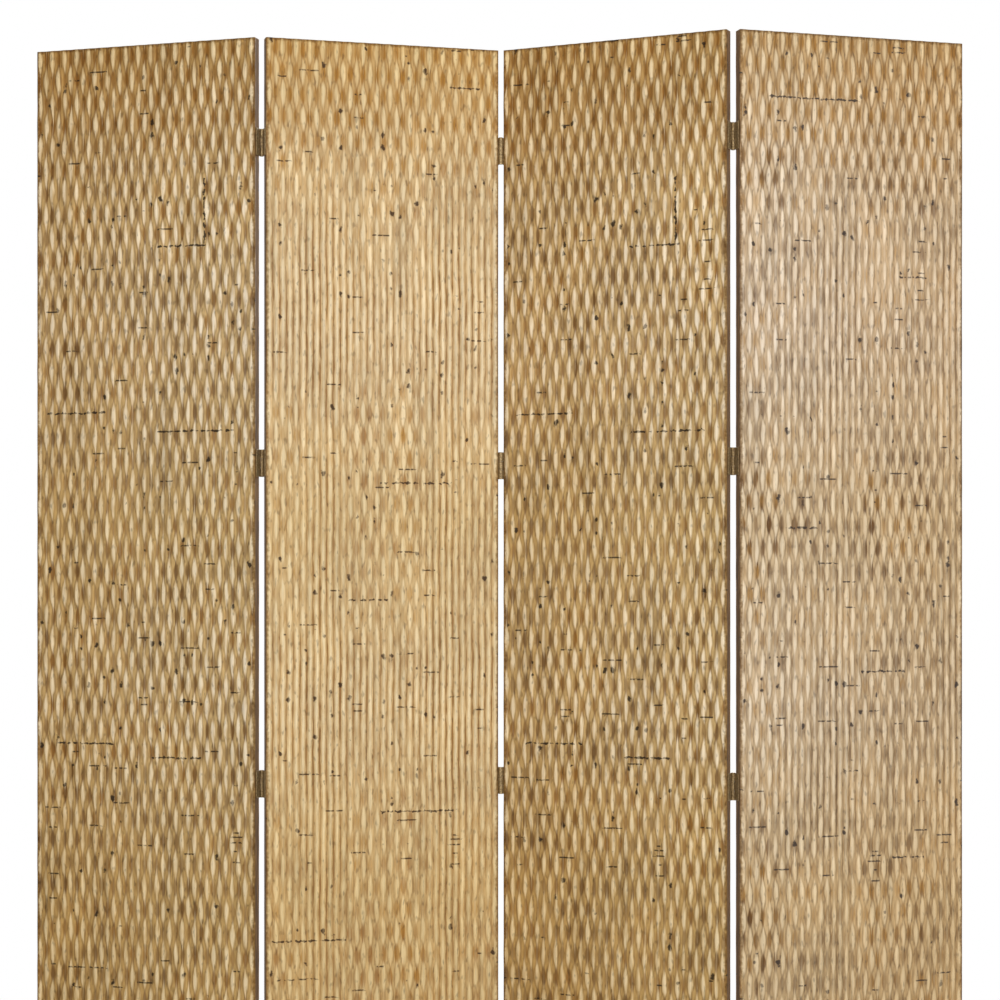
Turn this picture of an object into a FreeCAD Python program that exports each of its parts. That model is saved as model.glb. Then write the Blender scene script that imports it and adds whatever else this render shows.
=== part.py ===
"""A four-panel folding screen: hollow-core panels with reeded skins, hung on butt hinges.

Each panel is a softwood frame glued between two carved skins. Each of the three seams has
four rolled butt hinges, on the back at the outer seams and on the front at the middle one,
so the panels fold like an accordion. Lengths are in millimetres and angles in degrees.

A panel is laid out in its own frame: X across it from its centre, Y through it with the
front at -Y, Z up from its foot. A hinge leaf is laid out about its pin.
"""

import FreeCAD, Part
import math
import os
import re

import Sketcher

SIZES = {
    # panels
    "panel_width": 437.5,
    "panel_height": 2134.0,
    "core_thickness": 12.0,
    "skin_thickness": 6.0,  # at the crest of a strand
    "strand_width": 12.5,  # nominal: a panel takes a whole number of strands
    "strand_rise": 0.9,  # crest above the valley between two strands
    "stile_width": 40.0,
    "end_rail_height": 60.0,
    "cross_rail_height": 45.0,
    "cross_rail_count": 3,
    # hinges
    "hinges_per_seam": 4,
    "hinge_inset": 188.0,  # panel end to the middle of the first hinge
    "leaf_length": 50.0,
    "leaf_thickness": 1.5,
    "leaf_margin": 4.8,  # blade beyond the line of its screws
    "leaf_corner": 1.5,  # bevel on the blade's two free corners
    "barrel_radius": 3.25,  # the barrels space the panels, one radius from each edge
    "barrel_stand_off": 0.5,  # barrel clear of the crests
    "blade_clearance": 0.4,  # blade clear of the other leaf's knuckles
    "knuckle_gap": 0.3,
    "pin_radius": 1.6,
    "pin_clearance": 0.05,  # running fit, on the radius
    # screws
    "screw_spacing": 28.0,
    "screw_length": 20.0,
    "shank_radius": 1.7,
    "screw_clearance": 0.05,  # on the radius, in the leaf and in the stile
    # how far each panel of the standing screen is turned from the flat screen
    "panel_1_turn": -14.5,
    "panel_2_turn": 17.5,
    "panel_3_turn": -21.5,
    "panel_4_turn": 18.5,
}

PIN_SIDES = (1, -1, 1)  # each seam's pins, at the back (1) or at the front (-1)
SCREW_SIDES = 6  # screws and bores are many-sided, because there are so many of them
BORE_SIDES = 12
ROLL_SIDES = 10  # of a knuckle's outside, from the neck round to the neck
COUNTERSINK_ANGLE = 45.0
HALF_TURN = 180.0

CENTRE = "0"
HALF_WIDTH = "panel_width / 2"
HALF_CORE = "core_thickness / 2"
CREST_DEPTH = f"({HALF_CORE} + skin_thickness)"
STRAND_COUNT = "round(panel_width / strand_width)"
STRAND = f"(panel_width / {STRAND_COUNT})"
VALLEY_DEPTH = "(skin_thickness - strand_rise)"
CREST_RADIUS = f"(({STRAND} / 2) ^ 2 + strand_rise ^ 2) / (2 * strand_rise)"
RAIL_LENGTH = "(panel_width - 2 * stile_width)"
RAIL_STEP = "((panel_height - end_rail_height) / (cross_rail_count + 1))"
FIRST_CROSS_RAIL = f"({RAIL_STEP} + (end_rail_height - cross_rail_height) / 2)"
HINGE_SPAN = "panel_height - 2 * hinge_inset"
PIN_TO_CREST = "(barrel_stand_off + barrel_radius)"
PIN_TO_SCREWS = f"({PIN_TO_CREST} + {CREST_DEPTH})"
BLADE_INSIDE = "-barrel_radius"
BLADE_OUTSIDE = "-barrel_radius + leaf_thickness"
BLADE_START = "barrel_radius + blade_clearance"
KNUCKLE_LENGTH = "((leaf_length - 2 * knuckle_gap) / 3)"
HEAD_RADIUS = "(shank_radius + leaf_thickness)"
PILOT_RADIUS = "(shank_radius + screw_clearance)"
PILOT_DEPTH = "screw_length - leaf_thickness + screw_clearance"

RIGHT = FreeCAD.Vector(1, 0, 0)
BACK = FreeCAD.Vector(0, 1, 0)
UP = FreeCAD.Vector(0, 0, 1)
START, END, MIDDLE = 1, 2, 3  # how a sketch numbers the points of a line, arc or circle
ORIGIN_POINT = (-1, START)  # and how it names its own origin

doc = FreeCAD.newDocument("folding_screen")
sheet = doc.addObject("Spreadsheet::Sheet", "Sizes")
for row, (alias, number) in enumerate(SIZES.items(), start=1):
    sheet.set(f"A{row}", alias)
    sheet.set(f"B{row}", str(number))
    sheet.setAlias(f"B{row}", alias)
doc.recompute()


def in_sheet(expression):
    """An expression in the names of the sizes, as the document reads it."""
    return re.sub(rf"\b({'|'.join(SIZES)})\b", r"Sizes.\1", expression)


def value(expression):
    """What an expression in the names of the sizes comes to."""
    return float(sheet.evalExpression(in_sheet(expression)))


def bind(feature, **expressions):
    """Drive properties of a feature by expressions in the names of the sizes."""
    for name, expression in expressions.items():
        feature.setExpression(name, in_sheet(expression))


def new_body(label):
    body = doc.addObject("PartDesign::Body", label)
    body.Label = label
    return body


def origin_plane(body, role):
    return next(part for part in body.Origin.OriginFeatures if part.Role == role)


def new_sketch(body, role, name, offset=CENTRE):
    """A sketch on one of the body's origin planes, or at an offset along its normal."""
    sketch = body.newObject("Sketcher::SketchObject", f"{body.Label}_{name}")
    sketch.AttachmentSupport = [(origin_plane(body, role), "")]
    sketch.MapMode = "FlatFace"
    sketch.setExpression(".AttachmentOffset.Base.z", in_sheet(offset))
    return sketch


def joined(sketch, one, other):
    """Make two points of a sketch one."""
    sketch.addConstraint(Sketcher.Constraint("Coincident", *one, *other))


def place(sketch, point, across, up):
    """Hold a point of a sketch at a place given by two expressions."""
    for kind, expression in (("DistanceX", across), ("DistanceY", up)):
        distance = Sketcher.Constraint(kind, *ORIGIN_POINT, *point, value(expression))
        number = sketch.addConstraint(distance)
        sketch.setExpression(f"Constraints[{number}]", in_sheet(expression))


def spot(corner):
    """Where a corner given as two expressions lies."""
    across, up = corner
    return FreeCAD.Vector(value(across), value(up), 0)


def hold_radius(sketch, curve, expression):
    """Bind the radius of a sketch's arc or circle."""
    number = sketch.addConstraint(Sketcher.Constraint("Radius", curve, value(expression)))
    sketch.setExpression(f"Constraints[{number}]", in_sheet(expression))


def add_lines(sketch, corners):
    """Straight lines through corners given as expressions, joined end to start."""
    lines = []
    for start, end in zip(corners, corners[1:]):
        lines.append(sketch.addGeometry(Part.LineSegment(spot(start), spot(end))))
    for line, following in zip(lines, lines[1:]):
        joined(sketch, (line, END), (following, START))
    for line, corner in zip(lines, corners):
        place(sketch, (line, START), *corner)
    return lines


def outline(sketch, corners):
    """A closed outline of straight lines."""
    lines = add_lines(sketch, corners + corners[:1])
    joined(sketch, (lines[-1], END), (lines[0], START))


def rectangle(sketch, left, right, bottom, top):
    outline(sketch, [(left, bottom), (right, bottom), (right, top), (left, top)])


def on_ring(radius, angle, across=CENTRE, up=CENTRE):
    """The place at an angle on a ring, as two expressions."""
    share_x = math.cos(angle)
    share_y = math.sin(angle)
    return f"{across} + {radius} * {share_x:.9f}", f"{up} + {radius} * {share_y:.9f}"


def regular_section(sketch, sides, radius, across=CENTRE, up=CENTRE):
    """A regular outline whose flats, not its corners, are at the given radius."""
    half_step = math.pi / sides
    corner_radius = f"{radius} / {math.cos(half_step):.9f}"
    angles = [(2 * side + 1) * half_step for side in range(sides)]
    outline(sketch, [on_ring(corner_radius, angle, across, up) for angle in angles])


def sweep(kind, body, sketch, name, length=None, **settings):
    """A pad or pocket of a sketch, of a bound length unless its type sets its end."""
    feature = body.newObject(f"PartDesign::{kind}", f"{body.Label}_{name}")
    feature.Profile = sketch
    for setting, chosen in settings.items():
        setattr(feature, setting, chosen)
    if length:
        bind(feature, Length=length)
    return feature


def repeat(body, originals, direction, length, occurrences, name):
    """Repeat features, or the whole body if none is named, evenly over a bound length."""
    pattern = body.newObject("PartDesign::LinearPattern", f"{body.Label}_{name}")
    if originals:
        pattern.Originals = originals
    else:
        pattern.TransformMode = "Whole shape"
    pattern.Direction = direction
    bind(pattern, Length=length, Occurrences=occurrences)
    body.Tip = pattern


def mirror(body, originals, role, name):
    """Mirror features, or the whole body if none is named, in one of its origin planes."""
    mirrored = body.newObject("PartDesign::Mirrored", f"{body.Label}_{name}")
    if originals:
        mirrored.Originals = originals
    else:
        mirrored.TransformMode = "Whole shape"
    mirrored.MirrorPlane = (origin_plane(body, role), [""])
    body.Tip = mirrored


# Panels

def make_skin(label):
    """A carved skin: glued face at Y zero, round strands side by side towards -Y."""
    body = new_body(label)
    section = new_sketch(body, "XY_Plane", "strand")
    draw_strand(section)
    strand = sweep("Pad", body, section, "strand", "panel_height")
    row = (section, ["H_Axis"])
    repeat(body, [strand], row, f"panel_width - {STRAND}", STRAND_COUNT, "all_strands")
    return body


def draw_strand(sketch):
    """The board's section along its first strand, whose front is one arc."""
    left = f"-{HALF_WIDTH}"
    right = f"{left} + {STRAND}"
    valley = f"-{VALLEY_DEPTH}"
    corners = [(right, valley), (right, CENTRE), (left, CENTRE), (left, valley)]
    right_side, back, left_side = add_lines(sketch, corners)
    place(sketch, (left_side, END), *corners[-1])
    crest_middle = (f"{left} + {STRAND} / 2", "-skin_thickness")
    crest_arc = Part.Arc(spot(corners[-1]), spot(crest_middle), spot(corners[0]))
    crest = sketch.addGeometry(crest_arc)
    joined(sketch, (left_side, END), (crest, START))
    joined(sketch, (crest, END), (right_side, START))
    hold_radius(sketch, crest, CREST_RADIUS)


def make_stile(label, hinged):
    """A stile with its outer edge at X zero, bored for the hinge screws if it is hinged."""
    body = new_body(label)
    section = new_sketch(body, "XY_Plane", "section")
    rectangle(section, "-stile_width", CENTRE, f"-{HALF_CORE}", HALF_CORE)
    sweep("Pad", body, section, "bar", "panel_height")
    if hinged:
        pilots = new_sketch(body, "YZ_Plane", "pilots")
        for side in "-+":
            screw_height = f"hinge_inset {side} screw_spacing / 2"
            regular_section(pilots, SCREW_SIDES, PILOT_RADIUS, up=screw_height)
        bores = sweep("Pocket", body, pilots, "bores", PILOT_DEPTH)
        repeat(body, [bores], (pilots, ["V_Axis"]), HINGE_SPAN, "hinges_per_seam", "all_bores")
    return body


def make_end_rail(label):
    rail = doc.addObject("Part::Box", label)
    rail.Label = label
    bind(rail, Length=RAIL_LENGTH, Width="core_thickness", Height="end_rail_height")
    return rail


def make_cross_rails(label):
    """The panel's equal rails, spaced evenly between its end rails."""
    body = new_body(label)
    section = new_sketch(body, "XZ_Plane", "section")
    half = f"{RAIL_LENGTH} / 2"
    first_top = f"{FIRST_CROSS_RAIL} + cross_rail_height"
    rectangle(section, f"-{half}", half, FIRST_CROSS_RAIL, first_top)
    rail = sweep("Pad", body, section, "rail", "core_thickness", SideType="Symmetric")
    span = f"{RAIL_STEP} * (cross_rail_count - 1)"
    repeat(body, [rail], (section, ["V_Axis"]), span, "cross_rail_count", "all")
    return body


# Hinges

def make_leaf(label, has_outer_knuckles):
    """A leaf about its pin, its blade on the -X side and reaching to +Y.

    One leaf of a hinge has the two outer knuckles, and the other has the middle one.
    """
    body = new_body(label)
    blade = new_sketch(body, "XY_Plane", "blade")
    blade_end = f"{PIN_TO_SCREWS} + leaf_margin"
    rectangle(blade, BLADE_INSIDE, BLADE_OUTSIDE, BLADE_START, blade_end)
    sweep("Pad", body, blade, "plate", "leaf_length", SideType="Symmetric")
    sinks = new_sketch(body, "YZ_Plane", "sinks", BLADE_OUTSIDE)
    for side in "-+":
        middle = {"across": PIN_TO_SCREWS, "up": f"{side}screw_spacing / 2"}
        regular_section(sinks, SCREW_SIDES, f"({HEAD_RADIUS} + screw_clearance)", **middle)
    holes = sweep("Pocket", body, sinks, "holes", "leaf_thickness")
    countersinks = taper_flats(body, holes, BLADE_OUTSIDE, "countersinks")
    bevel_free_corners(body, countersinks)
    if has_outer_knuckles:
        foot = f"leaf_length / 2 - {KNUCKLE_LENGTH}"
        roll = new_sketch(body, "XY_Plane", "roll", foot)
        draw_knuckle(roll)
        knuckle = sweep("Pad", body, roll, "upper_knuckle", KNUCKLE_LENGTH)
        mirror(body, [knuckle], "XY_Plane", "lower_knuckle")
    else:
        roll = new_sketch(body, "XY_Plane", "roll")
        draw_knuckle(roll)
        sweep("Pad", body, roll, "middle_knuckle", KNUCKLE_LENGTH, SideType="Symmetric")
    return body


def taper_flats(body, feature, head_face, name):
    """Slope a screw's or hole's flats inwards from its face at a given X."""
    doc.recompute()
    flats = []
    for number, face in enumerate(feature.Shape.Faces, start=1):
        normal = face.normalAt(0, 0)
        if abs(normal.x) > 1 / 2 and math.isclose(face.CenterOfMass.x, value(head_face)):
            head = f"Face{number}"
        if abs(normal.x) < 1 / 2 and face.BoundBox.DiagonalLength < value(f"2 * {HEAD_RADIUS}"):
            flats.append(f"Face{number}")
    draft = body.newObject("PartDesign::Draft", f"{body.Label}_{name}")
    draft.Base = (feature, flats)
    draft.NeutralPlane = (feature, [head])
    draft.Angle = COUNTERSINK_ANGLE
    draft.Reversed = True
    return draft


def bevel_free_corners(body, plate):
    """Bevel the two short edges at the blade's free end."""
    doc.recompute()
    corners = []
    for number, edge in enumerate(plate.Shape.Edges, start=1):
        box = edge.BoundBox
        if box.YMin > value(f"{PIN_TO_SCREWS} + {HEAD_RADIUS}") and box.XLength > box.ZLength:
            corners.append(f"Edge{number}")
    bevel = body.newObject("PartDesign::Chamfer", f"{body.Label}_corners")
    bevel.Base = (plate, corners)
    bind(bevel, Size="leaf_corner")


def draw_knuckle(sketch):
    """The blade's neck, rolled round the bore from its inside face to its outside face."""
    neck_end = math.acos(value(BLADE_OUTSIDE) / value("barrel_radius"))
    step = (math.pi + neck_end) / ROLL_SIDES
    roll = [on_ring("barrel_radius", -math.pi + side * step) for side in range(ROLL_SIDES)]
    level = f"sqrt(barrel_radius ^ 2 - ({BLADE_OUTSIDE}) ^ 2)"
    neck = [(BLADE_OUTSIDE, level), (BLADE_OUTSIDE, BLADE_START), (BLADE_INSIDE, BLADE_START)]
    outline(sketch, roll + neck)
    regular_section(sketch, BORE_SIDES, "(pin_radius + pin_clearance)")


def make_pins(label):
    """The round pins of one seam, on the seam's axis."""
    body = new_body(label)
    section = new_sketch(body, "XY_Plane", "section", "hinge_inset - leaf_length / 2")
    circle = section.addGeometry(Part.Circle(FreeCAD.Vector(), UP, value("pin_radius")))
    joined(section, (circle, MIDDLE), ORIGIN_POINT)
    hold_radius(section, circle, "pin_radius")
    pin = sweep("Pad", body, section, "pin", "leaf_length")
    axis = (section, ["N_Axis"])
    repeat(body, [pin], axis, HINGE_SPAN, "hinges_per_seam", "all")
    return body


def make_screws(label, on_both_edges):
    """A panel's hinge screws: those of its right edge, and those of its left if wanted."""
    body = new_body(label)
    head_face = f"{HALF_WIDTH} + leaf_thickness"
    heads = new_sketch(body, "YZ_Plane", "heads", head_face)
    shanks = new_sketch(body, "YZ_Plane", "shanks", HALF_WIDTH)
    for side in "-+":
        screw_height = f"hinge_inset {side} screw_spacing / 2"
        regular_section(heads, SCREW_SIDES, HEAD_RADIUS, up=screw_height)
        regular_section(shanks, SCREW_SIDES, "shank_radius", up=screw_height)
    blanks = sweep("Pad", body, heads, "blanks", "leaf_thickness", Reversed=True)
    taper_flats(body, blanks, head_face, "heads_tapered")
    sweep("Pad", body, shanks, "stems", "screw_length - leaf_thickness", Reversed=True)
    up = (heads, ["V_Axis"])
    repeat(body, [], up, HINGE_SPAN, "hinges_per_seam", "right_edge")
    if on_both_edges:
        mirror(body, [], "YZ_Plane", "left_edge")
    return body


# The screen

def turned(axis, degrees=HALF_TURN):
    return FreeCAD.Rotation(axis, degrees)


def panel_turn(panel):
    """How a panel, counted from zero at the left, is turned in the standing screen."""
    return turned(UP, value(f"panel_{panel + 1}_turn"))


def pin_place(seam, edge):
    """A seam's axis in the frame of the panel that has it on its right (1) or left (-1)."""
    across = edge * value(f"{HALF_WIDTH} + barrel_radius")
    through = PIN_SIDES[seam] * value(PIN_TO_SCREWS)
    return FreeCAD.Vector(across, through, 0)


def hang(panel, seam, edge, axis):
    """Where a panel stands when its end of a seam is at a given axis."""
    rotation = panel_turn(panel)
    return FreeCAD.Placement(axis - rotation.multVec(pin_place(seam, edge)), rotation)


def stand_panels():
    """Each panel's placement, hung from its left neighbour."""
    stands = [FreeCAD.Placement(FreeCAD.Vector(), panel_turn(0))]
    for seam in range(len(PIN_SIDES)):
        axis = stands[seam].multVec(pin_place(seam, 1))
        stands.append(hang(seam + 1, seam, -1, axis))
    return stands


def leaf_turn(seam, edge):
    """Turn a leaf from its own frame to a panel's right (1) or left (-1) edge."""
    if PIN_SIDES[seam] < 0:
        return FreeCAD.Rotation() if edge > 0 else turned(BACK)
    return turned(RIGHT) if edge > 0 else turned(UP)


def put(nodes, feature, stand, place_in_panel=FreeCAD.Vector(), rotation=FreeCAD.Rotation()):
    """Stand a finished sub-part in its panel."""
    feature.Placement = stand.multiply(FreeCAD.Placement(place_in_panel, rotation))
    nodes.append(feature)


def build_panel(nodes, number, stand, left_hinged, right_hinged):
    name = f"panel_{number}"
    half_width = value(HALF_WIDTH)
    half_core = value(HALF_CORE)
    skin_back = FreeCAD.Vector(0, half_core, 0)
    put(nodes, make_skin(f"{name}_front_skin"), stand, -skin_back)
    put(nodes, make_skin(f"{name}_back_skin"), stand, skin_back, turned(UP))
    edge = FreeCAD.Vector(half_width, 0, 0)
    put(nodes, make_stile(f"{name}_left_stile", left_hinged), stand, -edge, turned(UP))
    put(nodes, make_stile(f"{name}_right_stile", right_hinged), stand, edge)
    rail_corner = FreeCAD.Vector(value(f"-{RAIL_LENGTH} / 2"), -half_core, 0)
    head = UP * value("panel_height - end_rail_height")
    put(nodes, make_end_rail(f"{name}_bottom_rail"), stand, rail_corner)
    put(nodes, make_end_rail(f"{name}_top_rail"), stand, rail_corner + head)
    put(nodes, make_cross_rails(f"{name}_cross_rails"), stand)
    screws = make_screws(f"{name}_screws", left_hinged and right_hinged)
    put(nodes, screws, stand, rotation=FreeCAD.Rotation() if right_hinged else turned(UP))


def build_seam(nodes, seam, left_stand, right_stand):
    """A seam's leaves, numbered from the foot, and its pins, which turn with the left leaves."""
    name = f"seam_{seam + 1}"
    first = value("hinge_inset")
    count = round(value("hinges_per_seam"))
    step = value(HINGE_SPAN) / (count - 1)
    for hinge in range(count):
        height = UP * (first + hinge * step)
        hinge_name = f"{name}_hinge_{hinge + 1}"
        for side, stand, edge in (("left", left_stand, 1), ("right", right_stand, -1)):
            leaf = make_leaf(f"{hinge_name}_{side}_leaf", has_outer_knuckles=edge > 0)
            middle = pin_place(seam, edge) + height
            put(nodes, leaf, stand, middle, leaf_turn(seam, edge))
    put(nodes, make_pins(f"{name}_pins"), left_stand, pin_place(seam, 1))


def check(nodes):
    """Stop if anything in the document failed or a sub-part isn't sound."""
    for feature in doc.Objects:
        if "Invalid" in feature.State or "Error" in feature.State:
            raise RuntimeError(f"{feature.Label} failed: {feature.State}")
    for node in nodes:
        if node.Shape.isNull() or not node.Shape.isValid():
            raise RuntimeError(f"{node.Label} has no sound shape")


def centre_on_foot(nodes):
    """Move the standing screen so that its foot's centre is the origin."""
    box = Part.Compound([node.Shape for node in nodes]).optimalBoundingBox(False, False)
    shift = FreeCAD.Placement(FreeCAD.Vector(-box.Center.x, -box.Center.y, -box.ZMin), turned(UP, 0))
    for node in nodes:
        node.Placement = shift.multiply(node.Placement)


def main():
    nodes = []
    stands = stand_panels()
    last = len(stands)
    for number, stand in enumerate(stands, start=1):
        build_panel(nodes, number, stand, left_hinged=number > 1, right_hinged=number < last)
    for seam in range(len(PIN_SIDES)):
        build_seam(nodes, seam, stands[seam], stands[seam + 1])
    doc.recompute()
    check(nodes)
    centre_on_foot(nodes)
    doc.recompute()
    check(nodes)
    os.makedirs("parts", exist_ok=True)
    for node in nodes:
        node.Shape.exportStep(f"parts/{node.Label}.step")
        print(f"{node.Label}: {len(node.Shape.Solids)} solid(s), {node.Shape.Volume:.0f} mm3")


main()
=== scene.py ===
# %% [markdown]
# # A folding screen with a carved wave relief
#
# The screen has four tall panels on butt hinges. The CAD model gives each piece its size and
# its place; this lesson gives the pieces their looks: the carving, the paint, the dark edges
# and the bronze hinges. Everything is in metres, in the CAD model's own frame.

# %% Load the frame
import math

import bmesh
import bpy
import numpy as np
from mathutils import Matrix, Vector


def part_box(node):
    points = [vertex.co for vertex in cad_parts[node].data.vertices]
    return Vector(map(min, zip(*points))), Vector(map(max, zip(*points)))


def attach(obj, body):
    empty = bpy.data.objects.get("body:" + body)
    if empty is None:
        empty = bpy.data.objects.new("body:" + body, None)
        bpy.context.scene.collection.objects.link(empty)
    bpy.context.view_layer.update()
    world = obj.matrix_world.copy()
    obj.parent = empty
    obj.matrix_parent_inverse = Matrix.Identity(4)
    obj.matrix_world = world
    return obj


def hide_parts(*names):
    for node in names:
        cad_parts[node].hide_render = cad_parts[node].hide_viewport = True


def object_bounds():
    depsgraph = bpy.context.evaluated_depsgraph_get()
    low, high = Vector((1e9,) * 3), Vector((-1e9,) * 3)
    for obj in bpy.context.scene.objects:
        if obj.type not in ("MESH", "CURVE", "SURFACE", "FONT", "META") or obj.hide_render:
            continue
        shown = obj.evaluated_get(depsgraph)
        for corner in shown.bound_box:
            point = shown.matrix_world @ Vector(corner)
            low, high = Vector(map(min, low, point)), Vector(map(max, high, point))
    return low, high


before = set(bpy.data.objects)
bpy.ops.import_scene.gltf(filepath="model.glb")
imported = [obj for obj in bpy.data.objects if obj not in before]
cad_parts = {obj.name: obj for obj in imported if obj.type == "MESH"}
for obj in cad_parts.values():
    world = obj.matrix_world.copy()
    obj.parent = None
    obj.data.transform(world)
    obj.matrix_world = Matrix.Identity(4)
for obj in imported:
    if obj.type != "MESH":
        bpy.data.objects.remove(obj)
cad_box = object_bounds()

# %% [markdown]
# ## Where the panels stand
#
# A panel is easiest to model upright at the origin, X across it and Z up it, and then to
# move to its place. A matrix for each panel does that: it turns the panel about its middle
# line and carries it to where its CAD rails are. The finished object stays at the origin,
# because its place goes into its vertices.

# %% Panels' places
MM = 0.001
PANEL_COUNT = 4
PANEL_WIDTH = 437.5 * MM
CORE_THICKNESS = 12 * MM
SKIN_THICKNESS = 6 * MM
PANEL_TURNS = (-14.5, 17.5, -21.5, 18.5)  # degrees from the flat screen, from the left
PANEL_HEIGHT = cad_box[1].z - cad_box[0].z
HALF_TURN = math.radians(180)


def middle(node):
    """The middle of a CAD node's box."""
    low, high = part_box(node)
    return (low + high) / 2


def panel_place(number):
    """The matrix from a panel's own frame to the screen's."""
    foot = middle(f"panel_{number}_bottom_rail")
    turn = math.radians(PANEL_TURNS[number - 1])
    return Matrix.Translation((foot.x, foot.y, 0)) @ Matrix.Rotation(turn, 4, "Z")


for number in range(1, PANEL_COUNT + 1):
    place = panel_place(number).to_translation()
    print(f"panel {number} stands at x {place.x:.3f}, y {place.y:.3f}")

# %% [markdown]
# ## Camera
#
# The picture's upright edges don't converge, so its camera was level, and the frame was
# moved up by a lens shift rather than by tilting. A camera turned by 90 degrees about X
# looks level along +Y; a small turn about Z aims it at the screen's middle.

# %% Camera
CAMERA_PLACE = Vector((0.206, -4.682, 1.110))
CAMERA_TURN = math.radians(2.41)
LENS_LENGTH = 91.9  # millimetres, on the usual 36 mm sensor
LENS_SHIFT = 0.1

camera_data = bpy.data.cameras.new("camera")
camera_data.lens = LENS_LENGTH
camera_data.shift_y = LENS_SHIFT
camera = bpy.data.objects.new("camera", camera_data)
camera.location = CAMERA_PLACE
camera.rotation_euler = (math.radians(90), 0, CAMERA_TURN)
bpy.context.scene.collection.objects.link(camera)
bpy.context.scene.camera = camera
print(f"camera {CAMERA_PLACE.length:.2f} m from the screen's foot")

# %% [markdown]
# ## Shader helpers
#
# A material is a small program of nodes. Writing each node by hand takes four lines, so one
# helper makes a node and feeds its inputs, from plain values or from other nodes' sockets.
# Colours are written as an editor shows them, from 0 to 255, and turned into the linear
# values that shaders work in.

# %% Shader helpers
def paint(red, green, blue):
    """A linear colour from the 0 to 255 values that an editor shows."""
    channels = [level / 255 for level in (red, green, blue)]
    linear = [c / 12.92 if c <= 0.04045 else ((c + 0.055) / 1.055) ** 2.4 for c in channels]
    return (*linear, 1.0)


def node(tree, kind, inputs, **settings):
    """A node whose inputs are given by name or number, as values or as sockets."""
    made = tree.nodes.new(kind)
    for name, setting in settings.items():
        setattr(made, name, setting)
    for name, given in inputs.items():
        if isinstance(given, bpy.types.NodeSocket):
            tree.links.new(given, made.inputs[name])
        else:
            made.inputs[name].default_value = given
    return made


def sums(tree, operation, *values):
    """One step of arithmetic on numbers."""
    return node(tree, "ShaderNodeMath", dict(enumerate(values)), operation=operation).outputs[0]


def fade(tree, value, start, end, low=0.0, high=1.0):
    """A smooth step from low to high as a value goes from start to end."""
    inputs = {"Value": value, "From Min": start, "From Max": end, "To Min": low, "To Max": high}
    made = node(tree, "ShaderNodeMapRange", inputs, interpolation_type="SMOOTHSTEP")
    return made.outputs["Result"]


def blend(tree, share, under, over, kind="MIX"):
    """One colour over another, by a share."""
    inputs = {0: share, 6: under, 7: over}
    made = node(tree, "ShaderNodeMix", inputs, data_type="RGBA", blend_type=kind)
    return made.outputs[2]


def clouds(tree, place, size, seed=0.0, detail=1.0):
    """Soft flat noise from 0 to 1, in lumps of a given width and height in metres."""
    width, height = size
    inputs = {"Vector": place, "Location": (seed, seed, 0), "Scale": (1 / width, 1 / height, 1)}
    moved = node(tree, "ShaderNodeMapping", inputs).outputs[0]
    settings = {"Vector": moved, "Scale": 1.0, "Detail": detail}
    return node(tree, "ShaderNodeTexNoise", settings, noise_dimensions="2D").outputs["Fac"]


def new_material(name):
    """A material, its node tree and its main shader."""
    material = bpy.data.materials.new(name)
    material.use_nodes = True
    return material, material.node_tree, material.node_tree.nodes["Principled BSDF"]


print("shader helpers ready")

# %% [markdown]
# ## The relief's height
#
# The carving is a product of two waves, one across the panel and one up it. Where both are
# high, or both low, a crest swells; where one is low, a hollow sinks, so the crests stand in
# staggered rows like a weave. In places the crests run together into straight strands at half
# the pitch, most of all on the second panel, less on the fourth, and nowhere near the top. A
# hand-guided cutter is never exact, so slow sine waves sway the strands a little. A bump map
# could fake the carving, but its light and shade would be wrong from the side, so the wave
# moves real vertices.

# %% The relief's height
STRAND_PITCH = 25 * MM  # from crest to crest across a row
WAVE_PITCH = 83 * MM  # from crest to crest up a strand
RELIEF_DEPTH = 3.6 * MM
CREST_FULLNESS = 0.8  # below one, the crests and hollows are fuller than a plain wave's
STRAIGHT_SHARES = {1: 0.08, 2: 0.56, 3: 0.08, 4: 0.30}  # of straight strands in a panel's relief
WOVEN_TOP = (120 * MM, 460 * MM)  # how far below the top the straight strands begin, and are full
SWAY = 1.0 * MM  # how far the strands sway sideways
SWAY_PITCH = 310 * MM
DRIFT = 1.8 * MM  # how far the rows drift up and down
DRIFT_PITCH = 260 * MM
SECOND_PITCH = 0.43  # a slow wave's second pitch, as a share of its first
SECOND_SEED = 2.3  # what a seed is multiplied by for the second wave
PATCHINESS = 0.7  # how much the share of straight strands varies over a panel


def slow_wave(distance, pitch, seed):
    """An uneven wave from -1 to 1, made of two sine waves whose pitches don't agree."""
    first = np.sin(2 * math.pi * distance / pitch + seed)
    second = np.sin(2 * math.pi * distance / (pitch * SECOND_PITCH) + SECOND_SEED * seed)
    return (2 * first + second) / 3


def wave_turns(across, up, seed):
    """How many waves lie between a panel's middle line or foot and a place on it."""
    swayed = across + SWAY * slow_wave(up, SWAY_PITCH, seed)
    drifted = up + DRIFT * slow_wave(across, DRIFT_PITCH, seed + 1)
    return swayed / STRAND_PITCH, drifted / WAVE_PITCH


def below_top(up, start, end):
    """A smooth step from 0 to 1 between two distances below the panel's top."""
    step = np.clip((PANEL_HEIGHT - up - start) / (end - start), 0, 1)
    return step * step * (3 - 2 * step)


def straight_share(across, up, seed, share):
    """How far the relief is of straight strands at a place, from 0 to 1."""
    patch = slow_wave(across, DRIFT_PITCH, 5 * seed) + slow_wave(up, 3 * DRIFT_PITCH, 2 * seed)
    return below_top(up, *WOVEN_TOP) * np.clip(share * (1 + PATCHINESS * patch), 0, 1)


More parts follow.
